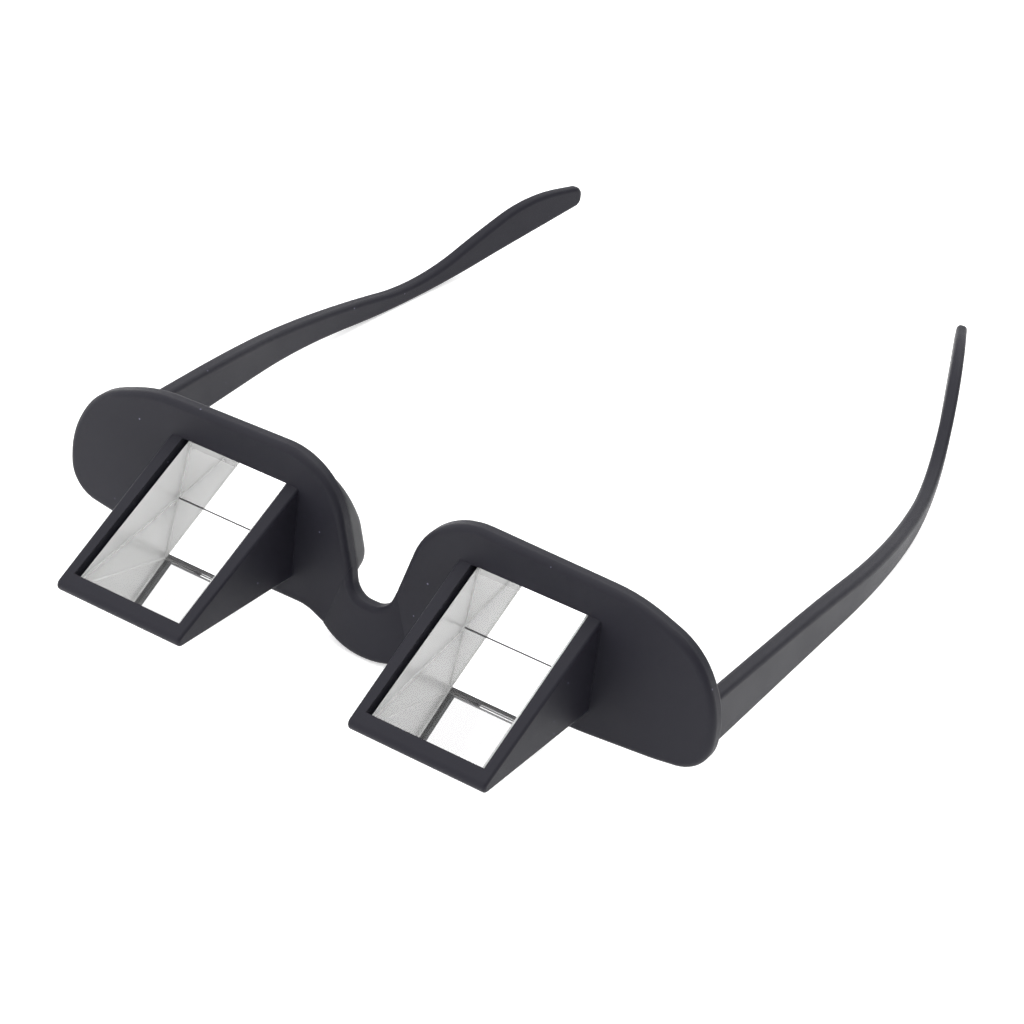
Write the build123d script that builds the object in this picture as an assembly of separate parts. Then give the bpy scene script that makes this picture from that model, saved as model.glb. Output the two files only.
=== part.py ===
from build123d import *
import math
import os

# Prism glasses for reading while lying flat, in millimetres, as they rest on a table.
# They are drawn upright first: x runs across, y runs back from the front's outer face
# to the ear ends, and z is measured up from the upper rim of the windows.

# Front: one flat moulding with a deep nose notch that opens upwards
front_half_width = 71.7
front_thickness = 3.4
front_rise = 7.7
front_drop = 24.5
front_round = 1.2
rear_round = 0.8

# Nose notch, and the bridge below it
notch_drop = 17.3
notch_floor_half = 3.75
notch_floor_round = 4.0
notch_mouth_half = 10.95
notch_mouth_round = 14.6
bridge_drop = 28.7
bridge_half_span = 14.2
bridge_span_round = 8.0
bridge_floor_half = 4.9
bridge_floor_round = 20.8
bridge_bow = 1.6
bridge_round = 1.0
crease_top_rise = 5.3
crease_top_half = 5.3
crease_low_half = 11.4
crease_skip = 0.05

# Prism housings: wedge boxes on the front, one before each eye
pupil_spacing = 65.0
window_half_width = 12.15
window_tilt = 28.0
housing_reach = 32.5
housing_nose_height = 2.02
cheek_wall = 2.75
cheek_tip_wall = 2.05
front_bar_wall = 2.55
housing_nose_round = 1.3
housing_edge_round = 0.6

# Ledges that the prisms are glued on, round the eye opening and the lower opening
eye_ledge_wall = 1.4
floor_ledge_wall = 1.2
ledge_width = 1.7
top_ledge_width = 0.35

# Prisms
glass_recess = 1.1
prism_gap = 0.05
prism_side_gap = 0.56

# Nose pads behind the front, along both sides of the notch
pad_wall = 2.6
pad_reach = 3.0
pad_top_rise = 3.5
pad_foot_rise = 2.9
pad_round = 1.1
pad_upper_round = 8.0
pad_lower_round = 3.5

# Temples
temple_length = 145.0
temple_gap = 0.3
temple_inset = 5.3
temple_drop = 14.1
temple_height = 11.2
temple_thickness = 3.0
temple_bow = 1.8
temple_outer_bow = 2.45
temple_waist = 4.1
temple_tip_round = 2.1
temple_end_height = 4.4
temple_end_thickness = 2.3
temple_round = 0.95
ear_rise = 18.0
ear_tuck = 22.0

# Hinges between the front and the temples
hinge_back = 2.8
hinge_inset = 1.8
hinge_lean = 3.2
barrel_radius = 1.35
knuckle_height = 2.4
knuckle_gap = 0.1
leaf_length = 12.0
leaf_wall = 0.8
leaf_recess = 0.4
leaf_gap = 0.1
screw_radius = 0.6
screw_gap = 0.04
screw_head_radius = 1.15
screw_head_height = 0.55
screw_slot_width = 0.3
screw_slot_depth = 0.25
rivet_radius = 0.55
rivet_gap = 0.03
rivet_head_radius = 1.0
rivet_head_height = 0.45
rivet_head_round = 0.3
rivet_tip_wall = 0.2
rivet_edge = 2.2
rivet_pitch = 5.0

# How far a cutting shape runs past what it cuts
overrun = 2.0

# How closely the resting tilt is found, in degrees
tilt_step = 0.001

# How much of a straight run the roundings at its two ends may use
run_share = 0.98

# Outer end of the front, from its upper edge round to its lower edge:
# shares of the half width, of the rise or the drop, and a rounding as a share of the half width
end_upper_shares = [(0.74, 0.86, 0.42), (0.925, 0.2, 0.215)]
end_lower_shares = [(1.003, 0.37, 0.27), (0.996, 0.88, 0.104), (0.85, 0.945, 0.42), (0.628, 1, 0.84)]
bridge_span_drop_share = 0.99

# Temple corners along its length, and their roundings, as shares of its length
top_shares = [(0.301, 2.76), (0.715, 0.262), (0.906, 0.193)]
lower_shares = [(0.71, 0.74), (0.42, 3.4)]
tip_share = 1.0
waist_top_share = 0.476
bow_share = 0.62
bow_round_share = 1.31
tuck_share = 1.046

# Rear outline of a nose pad: shares of its height where it reaches furthest
pad_upper_share = 0.49
pad_lower_share = 0.12

# Worked out from the sizes above
eye_x = pupil_spacing / 2
rim_slope = math.tan(math.radians(window_tilt))
housing_drop = housing_reach * rim_slope + housing_nose_height
crease_top_drop = notch_drop - crease_top_rise
crease_low_drop = bridge_drop + overrun
pad_foot_drop = notch_drop - pad_foot_rise
temple_half_spacing = front_half_width - temple_inset
glass_drop = glass_recess / math.cos(math.radians(window_tilt))
floor_z = floor_ledge_wall - housing_drop
bar_y = front_bar_wall - housing_reach
eye_ledge_y = front_thickness - eye_ledge_wall
rivet_depth = eye_ledge_wall - rivet_tip_wall
opening_half_width = window_half_width - ledge_width
root_y = front_thickness + temple_gap
hinge_x = temple_half_spacing - hinge_inset
hinge_y = front_thickness + hinge_back
barrel_height = knuckle_height * 3 + knuckle_gap * 2


def between(low, high):
    """A box from one corner to the opposite one."""
    size = Vector(*high) - Vector(*low)
    middle = (Vector(*high) + Vector(*low)) / 2
    return Pos(*middle) * Box(size.X, size.Y, size.Z)


def rounded_outline(corners):
    """A closed outline with a rounding at each corner, held back where two roundings would meet."""
    points = [Vector(x, y) for x, y, _ in corners]
    runs = [points[i - 1] - points[i] for i in range(len(points))]
    reaches = []
    for i, (_, _, radius) in enumerate(corners):
        turn = 180 - runs[i].get_angle(-runs[(i + 1) % len(points)])
        reaches.append(radius * math.tan(math.radians(turn) / 2))
    shrinks = []
    for i, run in enumerate(runs):
        wanted = reaches[i - 1] + reaches[i]
        shrinks.append(min(1, run_share * run.length / wanted) if wanted else 1)
    radii = []
    for i, (_, _, radius) in enumerate(corners):
        radii.append(radius * min(shrinks[i], shrinks[(i + 1) % len(points)]))
    return make_face(FilletPolyline(*points, radius=radii, close=True))


def front_outline():
    """The front's whole outline, seen from the front."""
    right = [(notch_floor_half, -notch_drop, notch_floor_round)]
    right.append((notch_mouth_half, front_rise, notch_mouth_round))
    for x, z, radius in end_upper_shares:
        right.append((x * front_half_width, z * front_rise, radius * front_half_width))
    for x, z, radius in end_lower_shares:
        right.append((x * front_half_width, -z * front_drop, radius * front_half_width))
    right.append((bridge_half_span, -bridge_span_drop_share * front_drop, bridge_span_round))
    right.append((bridge_floor_half, -bridge_drop, bridge_floor_round))
    left = [(-x, z, radius) for x, z, radius in reversed(right)]
    return rounded_outline(right + left)


def bridge_section(half_width, bow, z):
    """A level slice of the bridge, bowed forwards by the same arc in front and behind."""
    front = ThreePointArc((-half_width, 0), (0, -bow), (half_width, 0))
    right = Line((half_width, 0), (half_width, front_thickness))
    rear = ThreePointArc((half_width, front_thickness), (0, front_thickness - bow), (-half_width, front_thickness))
    left = Line((-half_width, front_thickness), (-half_width, 0))
    return Pos(0, 0, z) * make_face([front, right, rear, left])


def bridge(face):
    """The bowed band between the two creases, which bows more towards its lower edge."""
    upper = bridge_section(crease_top_half, bridge_bow / 2, -crease_top_drop)
    lower = bridge_section(crease_low_half, bridge_bow, -crease_low_drop)
    deep = extrude(Pos(0, -overrun, 0) * face, amount=front_thickness + overrun * 2, dir=(0, 1, 0))
    band = deep & loft([upper, lower])
    middle_y = front_thickness / 2
    front_rim = [edge for edge in band.edges() if edge.center().Y < -crease_skip]
    rear_rim = [edge for edge in band.edges() if middle_y < edge.center().Y < front_thickness - crease_skip]
    return fillet(front_rim + rear_rim, bridge_round)


def bridge_slot():
    """The room between the creases, which the bowed band fills."""
    corners = [(crease_top_half, -crease_top_drop), (crease_low_half, -crease_low_drop)]
    corners += [(-x, z) for x, z in reversed(corners)]
    slot = Plane.XZ * make_face(Polyline(*corners, close=True))
    return extrude(Pos(0, -overrun, 0) * slot, amount=front_thickness + overrun * 2, dir=(0, 1, 0))


def front_slab(face):
    """The flat front, rounded along both faces."""
    slab = extrude(face, amount=front_thickness, dir=(0, 1, 0))
    slab = fillet(slab.edges().group_by(Axis.Y)[0], front_round)
    return fillet(slab.edges().group_by(Axis.Y)[-1], rear_round)


def wedge_outline(nose_round):
    """A housing from the side: a wedge with its thick end on the front."""
    nose_z = -housing_reach * rim_slope
    corners = [(front_thickness / 2, 0, 0), (0, 0, 0), (-housing_reach, nose_z, nose_round)]
    corners += [(-housing_reach, -housing_drop, nose_round), (front_thickness / 2, -housing_drop, 0)]
    return Plane.YZ * rounded_outline(corners)


def housing_shell():
    """One housing's outer shape, narrower at the nose, with rounded upper edges."""
    root_half = window_half_width + cheek_wall
    tip_half = window_half_width + cheek_tip_wall
    plan = Polyline((root_half, front_thickness / 2), (root_half, 0), (tip_half, -housing_reach),
                    (-tip_half, -housing_reach), (-root_half, 0), (-root_half, front_thickness / 2), close=True)
    block = extrude(make_face(plan), amount=housing_drop + overrun, both=True)
    wedge = block & extrude(wedge_outline(housing_nose_round), amount=root_half, both=True)
    outer = [edge for edge in wedge.edges() if edge.center().Y < 0 and abs(edge.center().X) > window_half_width]
    return fillet(outer, housing_edge_round)


def housing_cut():
    """What is open in a housing: the seat above the ledges, the eye opening and the lower opening."""
    seat = [(eye_ledge_y, floor_z), (eye_ledge_y, 0), (0, 0), (bar_y, bar_y * rim_slope + overrun), (bar_y, floor_z)]
    seat_cut = extrude(Plane.YZ * make_face(Polyline(*seat, close=True)), amount=window_half_width, both=True)
    eye_top = eye_ledge_y * rim_slope - glass_drop - top_ledge_width
    eye_cut = between((-opening_half_width, 0, floor_z + ledge_width),
                      (opening_half_width, front_thickness + overrun, eye_top))
    floor_cut = between((-opening_half_width, bar_y + ledge_width, -housing_drop - overrun),
                        (opening_half_width, -ledge_width, floor_z + ledge_width))
    return seat_cut + eye_cut + floor_cut


def prism_solid():
    """A clear wedge that fills the housing behind its recessed sloping face."""
    half = window_half_width - prism_side_gap
    front_y = bar_y + prism_gap
    block = between((-half, front_y, floor_z), (half, eye_ledge_y, 0))
    slope = [(front_y - overrun, (front_y - overrun) * rim_slope - glass_drop)]
    slope.append((eye_ledge_y + overrun, (eye_ledge_y + overrun) * rim_slope - glass_drop))
    slope += [(eye_ledge_y + overrun, floor_z - overrun), (front_y - overrun, floor_z - overrun)]
    return block & extrude(Plane.YZ * make_face(Polyline(*slope, close=True)), amount=half + overrun, both=True)


def nose_pad():
    """The right pad: a band along the notch's edge that stands back from the front like a lobe."""
    whole = front_outline()
    reach = notch_mouth_half + notch_mouth_round
    height = pad_top_rise + pad_foot_drop
    side_room = Pos(reach / 2, (pad_top_rise - pad_foot_drop) / 2) * Rectangle(reach, height)
    plan = (whole - offset(whole, amount=-pad_wall)) & side_room
    rear_y = front_thickness + pad_reach
    lobe = [(front_thickness, pad_top_rise, 0)]
    lobe.append((rear_y, pad_top_rise - pad_upper_share * height, pad_upper_round))
    lobe.append((rear_y, pad_lower_share * height - pad_foot_drop, pad_lower_round))
    lobe.append((front_thickness, -pad_foot_drop, 0))
    side = extrude(Plane.YZ * rounded_outline(lobe), amount=reach)
    block = extrude(Pos(0, front_thickness, 0) * (Plane.XZ * plan), amount=pad_reach + overrun, dir=(0, 1, 0))
    pad = block & side
    return fillet([edge for edge in pad.edges() if edge.center().Y > front_thickness + pad_round], pad_round)


def temple_side_outline():
    """A temple from the side, from its root to the raised ear end."""
    half = temple_height / 2
    waist_top = waist_top_share * temple_waist
    lifts = [half, waist_top, ear_rise]
    corners = [(root_y, half, 0)]
    for (along, radius), lift in zip(top_shares, lifts):
        corners.append((root_y + along * temple_length, lift, radius * temple_length))
    tip_y = root_y + tip_share * temple_length
    corners.append((tip_y, ear_rise, temple_tip_round))
    corners.append((tip_y, ear_rise - temple_end_height, temple_tip_round))
    for along, radius in lower_shares:
        corners.append((root_y + along * temple_length, waist_top - temple_waist, radius * temple_length))
    corners.append((root_y, -half, 0))
    return Pos(0, 0, -temple_drop) * (Plane.YZ * rounded_outline(corners))


def temple_plan_outline():
    """The right temple from above: bowed out at first, then drawn in behind the ear."""
    inner = temple_half_spacing
    outer = inner + temple_thickness
    bow_y = root_y + bow_share * temple_length
    end_y = root_y + tuck_share * temple_length
    bow_round = bow_round_share * temple_length
    corners = [(inner, root_y, 0), (inner + temple_bow, bow_y, bow_round), (inner - ear_tuck, end_y, 0)]
    corners.append((inner - ear_tuck + temple_end_thickness, end_y, 0))
    corners += [(outer + temple_outer_bow, bow_y, bow_round), (outer, root_y, 0)]
    return rounded_outline(corners)


def temple_blank():
    """The right temple before its hinge leaf is let in."""
    side = extrude(temple_side_outline(), amount=temple_half_spacing + temple_thickness + temple_outer_bow)
    plan = extrude(temple_plan_outline(), amount=temple_drop + temple_height + ear_rise, both=True)
    blank = side & plan
    long_edges = [edge for edge in blank.edges() if edge.center().Y > root_y + temple_gap]
    return fillet(long_edges, temple_round)


def front_frame():
    """The front with its bridge and both prism housings, moulded in one."""
    outline = Plane.XZ * front_outline()
    frame = front_slab(outline) - bridge_slot() + bridge(outline)
    for side in (-1, 1):
        frame += Pos(side * eye_x, 0, 0) * housing_shell()
    for side in (-1, 1):
        frame -= Pos(side * eye_x, 0, 0) * housing_cut()
    holes = at_hinge(frame_rivet_holes())
    return frame - holes - mirror(holes, about=Plane.YZ)


def at_hinge(shape):
    """Moves what is drawn round the hinge pin to the right hinge, with the pin's lean."""
    return Pos(hinge_x, hinge_y, -temple_drop) * Rot(0, hinge_lean, 0) * shape


def knuckle(level):
    """One knuckle of the barrel: level 0 is the middle one, which the temple's leaf carries."""
    middle = level * (knuckle_height + knuckle_gap)
    return Pos(0, 0, middle) * Cylinder(barrel_radius, knuckle_height)


def knuckle_web(level, low, high):
    """What joins a knuckle to its leaf, as tall as the knuckle."""
    middle = level * (knuckle_height + knuckle_gap)
    half = knuckle_height / 2
    return between((*low, middle - half), (*high, middle + half))


def pin_hole():
    return Cylinder(screw_radius + screw_gap, barrel_height + overrun)


def rivet_places():
    """Distances of a leaf's rivets from the pin."""
    return [leaf_length - rivet_edge, leaf_length - rivet_edge - rivet_pitch]


def rivet(head_at, direction):
    """A rivet whose head lies on a leaf and whose shank runs on into the plastic."""
    seat = Plane(origin=head_at, z_dir=direction)
    head = Pos(0, 0, rivet_head_height / 2) * Cylinder(rivet_head_radius, rivet_head_height)
    head = fillet(head.edges().group_by(Axis.Z)[-1], rivet_head_round)
    length = leaf_wall + rivet_depth
    shank = Pos(0, 0, -length / 2) * Cylinder(rivet_radius, length)
    return seat * (head + shank)


def rivet_hole(head_at, direction):
    """The hole for a rivet's shank, through the leaf and into the plastic."""
    seat = Plane(origin=head_at, z_dir=direction)
    length = leaf_wall + rivet_depth + rivet_gap
    return seat * Pos(0, 0, -length / 2) * Cylinder(rivet_radius + rivet_gap, length)


def frame_rivet_seats():
    face_y = leaf_wall - hinge_back
    return [((-along, face_y, 0), (0, 1, 0)) for along in rivet_places()]


def temple_leaf_x():
    """The temple leaf's two faces: the inner one, and the one on the floor of its recess."""
    floor_x = hinge_inset + leaf_recess
    return floor_x - leaf_wall, floor_x


def temple_rivet_seats():
    inner_x, _ = temple_leaf_x()
    return [((inner_x, along, 0), (-1, 0, 0)) for along in rivet_places()]


def frame_rivet_holes():
    return Part() + [rivet_hole(*seat) for seat in frame_rivet_seats()]


def temple_rivet_holes():
    return Part() + [rivet_hole(*seat) for seat in temple_rivet_seats()]


def frame_hinge_leaf():
    """The leaf on the front's rear face, with the upper and the lower knuckle."""
    half = barrel_height / 2
    leaf = between((-leaf_length, -hinge_back, -half), (0, leaf_wall - hinge_back, half))
    for level in (-1, 1):
        leaf += knuckle(level)
        leaf += knuckle_web(level, (-barrel_radius, -hinge_back), (0, 0))
    return leaf - pin_hole() - frame_rivet_holes()


def temple_hinge_leaf():
    """The leaf in the temple's inner face, with the middle knuckle."""
    half = barrel_height / 2
    inner_x, floor_x = temple_leaf_x()
    leaf = between((inner_x, barrel_radius + leaf_recess, -half), (floor_x, leaf_length, half))
    leaf += knuckle(0)
    leaf += knuckle_web(0, (0, 0), (floor_x, barrel_radius))
    leaf += knuckle_web(0, (inner_x, 0), (floor_x, leaf_length / 2))
    return leaf - pin_hole() - temple_rivet_holes()


def leaf_pocket():
    """The recess for the temple's leaf, and room for the web of its knuckle."""
    half = barrel_height / 2 + leaf_gap
    _, floor_x = temple_leaf_x()
    return between((0, -leaf_gap, -half), (floor_x, leaf_length + leaf_gap, half))


def hinge_screw():
    """The pin of the hinge, with a slotted head above the top knuckle."""
    half = barrel_height / 2
    pin = Cylinder(screw_radius, barrel_height)
    head = Pos(0, 0, half + screw_head_height / 2) * Cylinder(screw_head_radius, screw_head_height)
    slot_z = half + screw_head_height
    slot = between((-screw_head_radius, -screw_slot_width / 2, slot_z - screw_slot_depth),
                   (screw_head_radius, screw_slot_width / 2, slot_z + overrun))
    return pin + head - slot


def temple():
    """The right temple, with the recess and the rivet holes for its hinge leaf."""
    return temple_blank() - at_hinge(leaf_pocket()) - at_hinge(temple_rivet_holes())


def lowest(shape, tilt):
    """The lowest height of a shape after the glasses are tipped back by a tilt."""
    return (Rot(-tilt, 0, 0) * shape).bounding_box().min.Z


def resting_tilt(front, side_arm):
    """The tilt at which the bridge and the temples touch the table together."""
    level, steep = 0, window_tilt
    while steep - level > tilt_step:
        tilt = (level + steep) / 2
        if lowest(side_arm, tilt) > lowest(front, tilt):
            level = tilt
        else:
            steep = tilt
    return (level + steep) / 2


right_pieces = {
    "prism": Pos(eye_x, 0, 0) * prism_solid(),
    "nose_pad": nose_pad(),
    "temple": temple(),
    "frame_hinge_leaf": at_hinge(frame_hinge_leaf()),
    "temple_hinge_leaf": at_hinge(temple_hinge_leaf()),
    "hinge_screw": at_hinge(hinge_screw()),
}
for i, (frame_seat, temple_seat) in enumerate(zip(frame_rivet_seats(), temple_rivet_seats()), start=1):
    right_pieces[f"frame_rivet_{i}"] = at_hinge(rivet(*frame_seat))
    right_pieces[f"temple_rivet_{i}"] = at_hinge(rivet(*temple_seat))

pieces = {"front_frame": front_frame()}
for name, piece in right_pieces.items():
    pieces[f"right_{name}"] = piece
    pieces[f"left_{name}"] = mirror(piece, about=Plane.YZ)

tilt = resting_tilt(pieces["front_frame"], pieces["right_temple"])
tipped = {name: Rot(-tilt, 0, 0) * piece for name, piece in pieces.items()}
boxes = [piece.bounding_box() for piece in tipped.values()]
middle_y = (min(box.min.Y for box in boxes) + max(box.max.Y for box in boxes)) / 2
to_rest = Pos(0, -middle_y, -min(box.min.Z for box in boxes)) * Rot(-tilt, 0, 0)

os.makedirs("parts", exist_ok=True)
for name, piece in pieces.items():
    export_step(to_rest * piece, f"parts/{name}.step")

pin = to_rest * Pos(hinge_x, hinge_y, -temple_drop) * Rot(0, hinge_lean, 0)
print("resting tilt", round(tilt, 3))
print("right hinge pin at", pin.position, "along", Plane(pin).z_dir)
print("front's rear face at", (to_rest * Pos(0, front_thickness, 0)).position)
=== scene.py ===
# %% [markdown]
# # Prism glasses for reading while lying flat
#
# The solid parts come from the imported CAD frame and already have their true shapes. This lesson
# gives them their finishes, sets a camera at the photograph's angle and lights the table softly.
# Lengths are in metres, as Blender counts them, in the frame that the CAD model was made in.

# %% Load the frame
import math

import bmesh
import bpy
from mathutils import Matrix, Vector


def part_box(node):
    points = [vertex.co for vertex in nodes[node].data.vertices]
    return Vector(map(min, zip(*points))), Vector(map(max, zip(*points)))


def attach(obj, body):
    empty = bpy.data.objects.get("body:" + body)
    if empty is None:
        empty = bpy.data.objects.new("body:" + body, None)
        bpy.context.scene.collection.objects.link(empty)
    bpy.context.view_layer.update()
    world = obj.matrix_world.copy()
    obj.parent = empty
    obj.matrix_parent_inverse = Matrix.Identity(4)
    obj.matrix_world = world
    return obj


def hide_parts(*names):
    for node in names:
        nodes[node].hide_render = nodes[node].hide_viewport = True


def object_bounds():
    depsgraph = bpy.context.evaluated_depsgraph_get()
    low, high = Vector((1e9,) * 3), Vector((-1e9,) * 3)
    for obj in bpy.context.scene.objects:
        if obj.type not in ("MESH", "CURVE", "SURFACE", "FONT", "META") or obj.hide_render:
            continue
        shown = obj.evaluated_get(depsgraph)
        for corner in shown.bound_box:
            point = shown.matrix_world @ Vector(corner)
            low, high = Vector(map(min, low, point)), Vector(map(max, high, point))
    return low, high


MM = 0.001

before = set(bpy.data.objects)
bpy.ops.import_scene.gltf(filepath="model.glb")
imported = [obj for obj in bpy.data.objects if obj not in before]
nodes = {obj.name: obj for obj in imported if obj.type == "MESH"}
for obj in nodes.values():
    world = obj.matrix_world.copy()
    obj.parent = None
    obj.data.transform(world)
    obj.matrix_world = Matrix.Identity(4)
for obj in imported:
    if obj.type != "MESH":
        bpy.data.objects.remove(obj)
cad_low, cad_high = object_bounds()
print("The frame has", len(nodes), "nodes and is", [round(v, 4) for v in cad_high - cad_low], "m")

# %% [markdown]
# ## Camera
#
# The photograph looks down on the glasses from the front right. A long lens keeps the two housings
# nearly the same size. The camera is placed by its direction from a point it looks at, which is
# easier to read than a raw position. A small roll about the line of sight matches the slight lean
# of the picture.

# %% Place the camera
look_at = Vector((19.525, -42.295, 31.088)) * MM
distance = 475.05 * MM
azimuth = math.radians(31.5663)
elevation = math.radians(37.1147)
roll = math.radians(2.6545)
focal_length = 92.93
sensor_width = 36

back = Vector((math.sin(azimuth) * math.cos(elevation),
               -math.cos(azimuth) * math.cos(elevation),
               math.sin(elevation)))
level = Vector((math.cos(azimuth), math.sin(azimuth), 0))
upright = back.cross(level)
right = level * math.cos(roll) + upright * math.sin(roll)
up = upright * math.cos(roll) - level * math.sin(roll)

camera_data = bpy.data.cameras.new("camera")
camera_data.lens = focal_length
camera_data.sensor_width = sensor_width
camera = bpy.data.objects.new("camera", camera_data)
turn = Matrix((right, up, back)).transposed().to_4x4()
camera.matrix_world = Matrix.Translation(look_at + back * distance) @ turn
bpy.context.scene.collection.objects.link(camera)
bpy.context.scene.camera = camera
print("The camera stands", round(camera.location.z, 3), "m above the table")

# %% [markdown]
# ## Floor and light
#
# The photograph was taken on a light table: the ground is pure white, with hardly any shadow. So
# the floor glows a little by itself, which fills the shadow under the glasses. The sky is a soft
# white that is brightest on the left and above, so that the faces turned to the right are darker.
# A world shader can do that with the direction of the sky and a scalar product. The standard view
# transform keeps white white.

# %% Make the floor
white = (1, 1, 1, 1)
floor_size = 6.0
floor_colour = (0.9, 0.9, 0.9, 1)
floor_roughness = 0.9
floor_sheen = 0.1
floor_glow = 0.5

floor_mesh = bpy.data.meshes.new("floor")
build = bmesh.new()
bmesh.ops.create_grid(build, x_segments=1, y_segments=1, size=floor_size / 2)
build.to_mesh(floor_mesh)
build.free()
floor = bpy.data.objects.new("floor", floor_mesh)
bpy.context.scene.collection.objects.link(floor)

floor_finish = bpy.data.materials.new("pale_floor")
floor_finish.use_nodes = True
floor_shader = floor_finish.node_tree.nodes["Principled BSDF"]
floor_shader.inputs["Base Color"].default_value = floor_colour
floor_shader.inputs["Roughness"].default_value = floor_roughness
floor_shader.inputs["Specular IOR Level"].default_value = floor_sheen
floor_shader.inputs["Emission Color"].default_value = white
floor_shader.inputs["Emission Strength"].default_value = floor_glow
floor_mesh.materials.append(floor_finish)
print("The floor is", floor_size, "m wide and glows with a strength of", floor_glow)

# %% Light the sky
bright_side = (-0.75, -0.05, 0.66)
sky_darkest = 0.0
sky_brightest = 1.55

world = bpy.data.worlds.new("studio")
world.use_nodes = True
sky = world.node_tree
direction = sky.nodes.new("ShaderNodeTexCoord")
towards_bright = sky.nodes.new("ShaderNodeVectorMath")
towards_bright.operation = "DOT_PRODUCT"
towards_bright.inputs[1].default_value = bright_side
sky_range = sky.nodes.new("ShaderNodeMapRange")
sky_range.inputs["From Min"].default_value = -1
sky_range.inputs["From Max"].default_value = 1
sky_range.inputs["To Min"].default_value = sky_darkest
sky_range.inputs["To Max"].default_value = sky_brightest
sky.links.new(direction.outputs["Generated"], towards_bright.inputs[0])
sky.links.new(towards_bright.outputs["Value"], sky_range.inputs["Value"])
sky.links.new(sky_range.outputs["Result"], sky.nodes["Background"].inputs["Strength"])
sky.nodes["Background"].inputs["Color"].default_value = white
bpy.context.scene.world = world
bpy.context.scene.view_settings.view_transform = "Standard"
print("The sky's strength runs from", sky_darkest, "to", sky_brightest)

# %% [markdown]
# ## Lamps
#
# Three wide, weak lamps add soft sheen to the rims and the rounded edges. The largest stand behind
# and above the glasses, as the overhead lamps of a studio do.

# %% Hang the lamps
lamps = {
    "front_lamp": {"place": (-0.7, -0.8, 0.7), "size": 0.8, "power": 2},
    "rear_lamp": {"place": (0.1, 0.9, 0.9), "size": 0.9, "power": 5},
    "top_lamp": {"place": (0.1, -0.1, 1.3), "size": 1.0, "power": 5},
}


def hang_lamp(name, aim, place, size, power):
    """A square soft lamp that points at what it lights. Its power is in watts."""
    lamp_data = bpy.data.lights.new(name, "AREA")
    lamp_data.shape = "SQUARE"
    lamp_data.size = size
    lamp_data.energy = power
    lamp = bpy.data.objects.new(name, lamp_data)
    lamp.location = place
    lamp.rotation_euler = (Vector(aim) - Vector(place)).to_track_quat("-Z", "Y").to_euler()
    bpy.context.scene.collection.objects.link(lamp)
    print("The", name, "gives", power, "W from", place)


middle = (cad_low + cad_high) / 2
for name, values in lamps.items():
    hang_lamp(name, middle, **values)

# %% [markdown]
# ## Satin moulded plastic
#
# The front and the temples are dark moulded plastic with a fine satin grain. The grain is far too
# small to model, so it is a bump from a fine noise texture. A second, wide noise varies the
# roughness a little, the way handling does. A few tiny pale specks of dust break the evenness. They
# are the middles of the cells of a Voronoi texture, so they are rare, small and round. The finish
# could also be a plain colour, but then large, flat faces look like a drawing.

# %% Tools for building a finish
noise_low = 0.3
noise_high = 0.7


def new_finish(name):
    """A plain node material, its node tree and its shader, ready for textures."""
    finish = bpy.data.materials.new(name)
    finish.use_nodes = True
    return finish, finish.node_tree, finish.node_tree.nodes["Principled BSDF"]


def add_node(tree, kind, **settings):
    """Adds one node and sets its named properties."""
    node = tree.nodes.new(kind)
    for key, value in settings.items():
        setattr(node, key, value)
    return node


def add_noise(tree, scale, detail):
    """A noise texture in object coordinates, so it stays put when a piece moves."""
    place = add_node(tree, "ShaderNodeTexCoord")
    texture = add_node(tree, "ShaderNodeTexNoise")
    texture.inputs["Scale"].default_value = scale
    texture.inputs["Detail"].default_value = detail
    tree.links.new(place.outputs["Object"], texture.inputs["Vector"])
    return texture.outputs["Fac"]


def span(tree, source, low, high, to_low, to_high):
    """Maps one range of values onto another."""
    node = add_node(tree, "ShaderNodeMapRange")
    node.inputs["From Min"].default_value = low
    node.inputs["From Max"].default_value = high
    node.inputs["To Min"].default_value = to_low
    node.inputs["To Max"].default_value = to_high
    tree.links.new(source, node.inputs["Value"])
    return node.outputs["Result"]


def mix_colours(tree, factor, first, second):
    """Blends two colours by a factor."""
    node = add_node(tree, "ShaderNodeMix", data_type="RGBA")
    node.inputs["A"].default_value = (*first, 1)
    node.inputs["B"].default_value = (*second, 1)
    tree.links.new(factor, node.inputs["Factor"])
    return node.outputs["Result"]


def bump(tree, shader, height, depth):
    """Turns a height into small dents of the surface."""
    node = add_node(tree, "ShaderNodeBump")
    node.inputs["Distance"].default_value = depth
    tree.links.new(height, node.inputs["Height"])
    tree.links.new(node.outputs["Normal"], shader.inputs["Normal"])


# %% Mix the satin plastic
plastic_colour = (0.0128, 0.0124, 0.0186)
plastic_smoothest = 0.42
plastic_roughest = 0.51
plastic_sheen = 0.18
grain_per_metre = 9000
grain_depth = 0.04 * MM
patch_per_metre = 60
speck_per_metre = 220
speck_core = 0.03
speck_edge = 0.05
speck_brightness = 9


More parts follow.
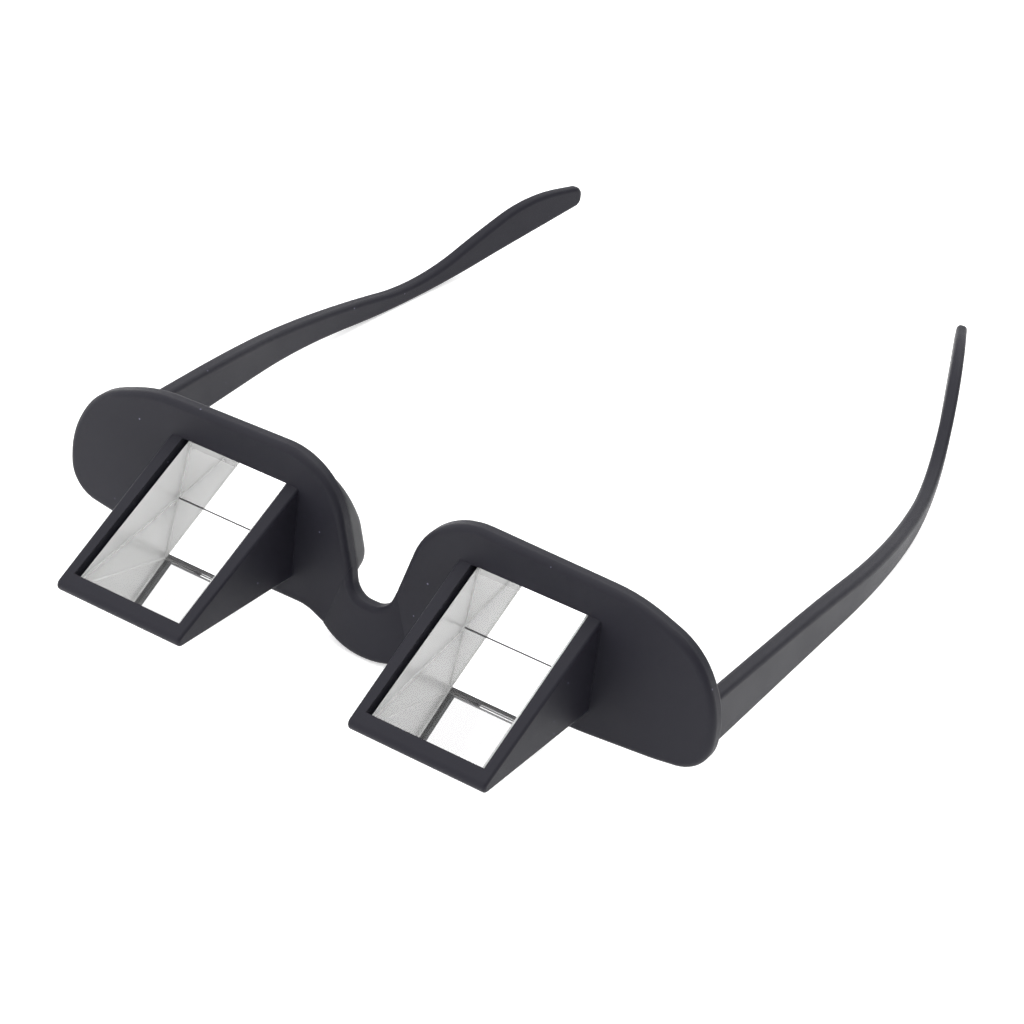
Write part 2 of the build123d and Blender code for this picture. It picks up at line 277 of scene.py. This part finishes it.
def satin_plastic(name):
    """Dark moulded plastic with a fine grain, faint handling marks and dust specks."""
    finish, tree, shader = new_finish(name)
    grain = add_noise(tree, grain_per_metre, 3)
    patches = add_noise(tree, patch_per_metre, 3)
    place = add_node(tree, "ShaderNodeTexCoord")
    specks = add_node(tree, "ShaderNodeTexVoronoi")
    specks.inputs["Scale"].default_value = speck_per_metre
    tree.links.new(place.outputs["Object"], specks.inputs["Vector"])
    dusty = span(tree, specks.outputs["Distance"], speck_core, speck_edge, 1.0, 0.0)
    paler = tuple(value * speck_brightness for value in plastic_colour)
    tree.links.new(mix_colours(tree, dusty, plastic_colour, paler), shader.inputs["Base Color"])
    shader.inputs["Specular IOR Level"].default_value = plastic_sheen
    uneven = span(tree, patches, noise_low, noise_high, plastic_smoothest, plastic_roughest)
    tree.links.new(uneven, shader.inputs["Roughness"])
    bump(tree, shader, grain, grain_depth)
    return finish


def dress(finish, *names):
    """Gives a finish to CAD nodes by name."""
    for name in names:
        nodes[name].data.materials.clear()
        nodes[name].data.materials.append(finish)
        print("The", finish.name, "finish is on", name)


dress(satin_plastic("front_plastic"), "front_frame")
dress(satin_plastic("temple_plastic"), "right_temple", "left_temple")

# %% [markdown]
# ## Nose pads
#
# The pads are soft mouldings behind the front, one on each side of the nose notch. They could be
# modelled as lofts, but their shape has to follow the notch exactly, so a merged copy of the CAD
# solid is the start. Its root is drawn a little way into the front's rounded rim, so that no groove
# is left between the two. A fine voxel remesh and a few rounds of vertex smoothing then melt the
# edges, which is what makes it look soft. A stronger sheen than the front's and a weak mottle tell
# it apart from the hard plastic.

# %% Mix the soft pad finish
pad_dark = (0.026, 0.026, 0.03)
pad_pale = (0.034, 0.034, 0.039)
pad_sheen = 0.6
pad_smoothest = 0.4
pad_roughest = 0.5
pad_mottle_per_metre = 260
pad_mottle_depth = 0.02 * MM

pad_rubber, pad_tree, pad_shader = new_finish("pad_rubber")
pad_mottle = add_noise(pad_tree, pad_mottle_per_metre, 4)
pad_colour = mix_colours(pad_tree, pad_mottle, pad_dark, pad_pale)
pad_tree.links.new(pad_colour, pad_shader.inputs["Base Color"])
pad_shader.inputs["Specular IOR Level"].default_value = pad_sheen
pad_rough = span(pad_tree, pad_mottle, noise_low, noise_high, pad_smoothest, pad_roughest)
pad_tree.links.new(pad_rough, pad_shader.inputs["Roughness"])
bump(pad_tree, pad_shader, pad_mottle, pad_mottle_depth)

# %% Model the soft pads
front_tilt = math.radians(7.598)
rearwards = Vector((0, math.cos(front_tilt), -math.sin(front_tilt)))
root_depth = 0.75 * MM
flat_limit = 0.02 * MM
weld_distance = 0.001 * MM
pad_voxel = 0.22 * MM
smoothing_rounds = 4


def soft_pad(name):
    """A nose pad from its CAD solid: rooted in the front's rim, with melted edges."""
    shape = bmesh.new()
    shape.from_mesh(nodes[name].data)
    bmesh.ops.remove_doubles(shape, verts=shape.verts, dist=weld_distance)
    foot_at = min(vert.co.dot(rearwards) for vert in shape.verts)
    foot = [vert for vert in shape.verts if vert.co.dot(rearwards) < foot_at + flat_limit]
    bmesh.ops.translate(shape, vec=-rearwards * root_depth, verts=foot)
    mesh = bpy.data.meshes.new(f"{name}_soft")
    shape.to_mesh(mesh)
    shape.free()
    piece = bpy.data.objects.new(f"{name}_soft", mesh)
    bpy.context.scene.collection.objects.link(piece)
    remesh = piece.modifiers.new("remesh", "REMESH")
    remesh.mode = "VOXEL"
    remesh.voxel_size = pad_voxel
    graph = bpy.context.evaluated_depsgraph_get()
    fine = bpy.data.meshes.new_from_object(piece.evaluated_get(graph))
    piece.modifiers.clear()
    shape = bmesh.new()
    shape.from_mesh(fine)
    for _ in range(smoothing_rounds):
        bmesh.ops.smooth_vert(shape, verts=shape.verts, factor=0.5,
                              use_axis_x=True, use_axis_y=True, use_axis_z=True)
    for face in shape.faces:
        face.smooth = True
    shape.to_mesh(fine)
    shape.free()
    piece.data = fine
    fine.materials.clear()
    fine.materials.append(pad_rubber)
    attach(piece, "front")
    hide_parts(name)
    print(piece.name, "has", len(fine.polygons), "faces")


soft_pad("right_nose_pad")
soft_pad("left_nose_pad")

# %% [markdown]
# ## Hinge metal
#
# The leaves are thin sheet steel with a rolled grain, made by stretching a noise texture. The
# screws and rivets are turned, so their grain is finer and they are brighter. Both are metals, so
# nearly all they show is a reflection of the studio.

# %% Finish the hinges
steel_grain_depth = 0.01 * MM
steel_darkening = 0.75
steel_roughness_swing = 0.08


def steel(name, colour, roughness, stretch, per_metre):
    """Steel whose grain is a noise stretched along one direction."""
    finish, tree, shader = new_finish(name)
    place = add_node(tree, "ShaderNodeTexCoord")
    squeeze = add_node(tree, "ShaderNodeMapping")
    squeeze.inputs["Scale"].default_value = stretch
    texture = add_node(tree, "ShaderNodeTexNoise")
    texture.inputs["Scale"].default_value = per_metre
    texture.inputs["Detail"].default_value = 4
    tree.links.new(place.outputs["Object"], squeeze.inputs["Vector"])
    tree.links.new(squeeze.outputs["Vector"], texture.inputs["Vector"])
    grain = texture.outputs["Fac"]
    darker = tuple(value * steel_darkening for value in colour)
    tree.links.new(mix_colours(tree, grain, darker, colour), shader.inputs["Base Color"])
    smoothest = roughness - steel_roughness_swing
    roughest = roughness + steel_roughness_swing
    rough = span(tree, grain, noise_low, noise_high, smoothest, roughest)
    tree.links.new(rough, shader.inputs["Roughness"])
    shader.inputs["Metallic"].default_value = 1
    bump(tree, shader, grain, steel_grain_depth)
    return finish


sheet_steel = steel("sheet_steel", colour=(0.62, 0.62, 0.64), roughness=0.34,
                    stretch=(0.2, 0.2, 3), per_metre=4000)
turned_steel = steel("turned_steel", colour=(0.72, 0.72, 0.74), roughness=0.25,
                     stretch=(1, 1, 1), per_metre=7000)
for side in ("right", "left"):
    dress(sheet_steel, f"{side}_frame_hinge_leaf", f"{side}_temple_hinge_leaf")
    dress(turned_steel, f"{side}_hinge_screw")
    dress(turned_steel, *[f"{side}_{part}_rivet_{i}" for part in ("frame", "temple") for i in (1, 2)])

# %% [markdown]
# ## Prisms
#
# Each prism is one clear wedge. Its sloping, rear and lower faces are polished and its two
# three-cornered ends are ground, so the ends look pale grey and hide the black housing behind
# them. The wedge is rebuilt from the CAD solid as a clean mesh, its edges get the tiny bevels that
# real prisms have, and the ends get their own material. It is made a little smaller than the solid,
# because a film of air at its faces is what makes them reflect all the light from inside. Painted
# lines in the windows would be simpler, but they would be wrong from every other side.

# %% Mix the two prism finishes
acrylic_ior = 1.49
haze_per_metre = 400
haze_start = 0.4
haze_full = 0.8
haze_roughness = 0.03
ground_dark = (0.95, 0.95, 0.94)
ground_pale = (0.99, 0.99, 0.98)
ground_roughness = 0.25
ground_clearness = 0.1
ground_grain_per_metre = 2500
ground_grain_depth = 0.004 * MM

clear_prism, clear_tree, clear_shader = new_finish("clear_prism")
clear_shader.inputs["Base Color"].default_value = white
clear_shader.inputs["Transmission Weight"].default_value = 1
clear_shader.inputs["IOR"].default_value = acrylic_ior
haze = add_noise(clear_tree, haze_per_metre, 4)
hazy = span(clear_tree, haze, haze_start, haze_full, 0.0, haze_roughness)
clear_tree.links.new(hazy, clear_shader.inputs["Roughness"])

ground_end, ground_tree, ground_shader = new_finish("ground_end")
ground_grain = add_noise(ground_tree, ground_grain_per_metre, 4)
ground_colour = mix_colours(ground_tree, ground_grain, ground_dark, ground_pale)
ground_tree.links.new(ground_colour, ground_shader.inputs["Base Color"])
ground_shader.inputs["Roughness"].default_value = ground_roughness
ground_shader.inputs["Transmission Weight"].default_value = ground_clearness
ground_shader.inputs["IOR"].default_value = acrylic_ior
bump(ground_tree, ground_shader, ground_grain, ground_grain_depth)

# %% Rebuild the prisms with small bevels
bevel_width = 0.26 * MM
air_film_scale = 0.996
ground_share = 0.3
flat_angle = math.radians(1)


def cut_prism(name):
    """A prism from its CAD solid: merged, its flat faces joined, bevelled, with ground ends."""
    mesh = nodes[name].data.copy()
    shape = bmesh.new()
    shape.from_mesh(mesh)
    bmesh.ops.remove_doubles(shape, verts=shape.verts, dist=weld_distance)
    bmesh.ops.dissolve_limit(shape, angle_limit=flat_angle, verts=shape.verts, edges=shape.edges)
    low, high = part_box(name)
    centre = (Vector(low) + Vector(high)) / 2
    from_centre = Matrix.Translation(-centre)
    bmesh.ops.scale(shape, vec=(air_film_scale,) * 3, verts=shape.verts, space=from_centre)
    bmesh.ops.bevel(shape, geom=shape.edges, offset=bevel_width, segments=1, profile=0.5,
                    affect="EDGES", material=-1, clamp_overlap=True)
    for face in shape.faces:
        face.material_index = 1 if abs(face.normal.x) > ground_share else 0
        face.smooth = False
    mesh.materials.clear()
    mesh.materials.append(clear_prism)
    mesh.materials.append(ground_end)
    shape.to_mesh(mesh)
    shape.free()
    piece = bpy.data.objects.new(f"{name}_cut", mesh)
    bpy.context.scene.collection.objects.link(piece)
    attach(piece, "front")
    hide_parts(name)
    print(piece.name, "has", len(mesh.polygons), "faces")


cut_prism("right_prism")
cut_prism("left_prism")
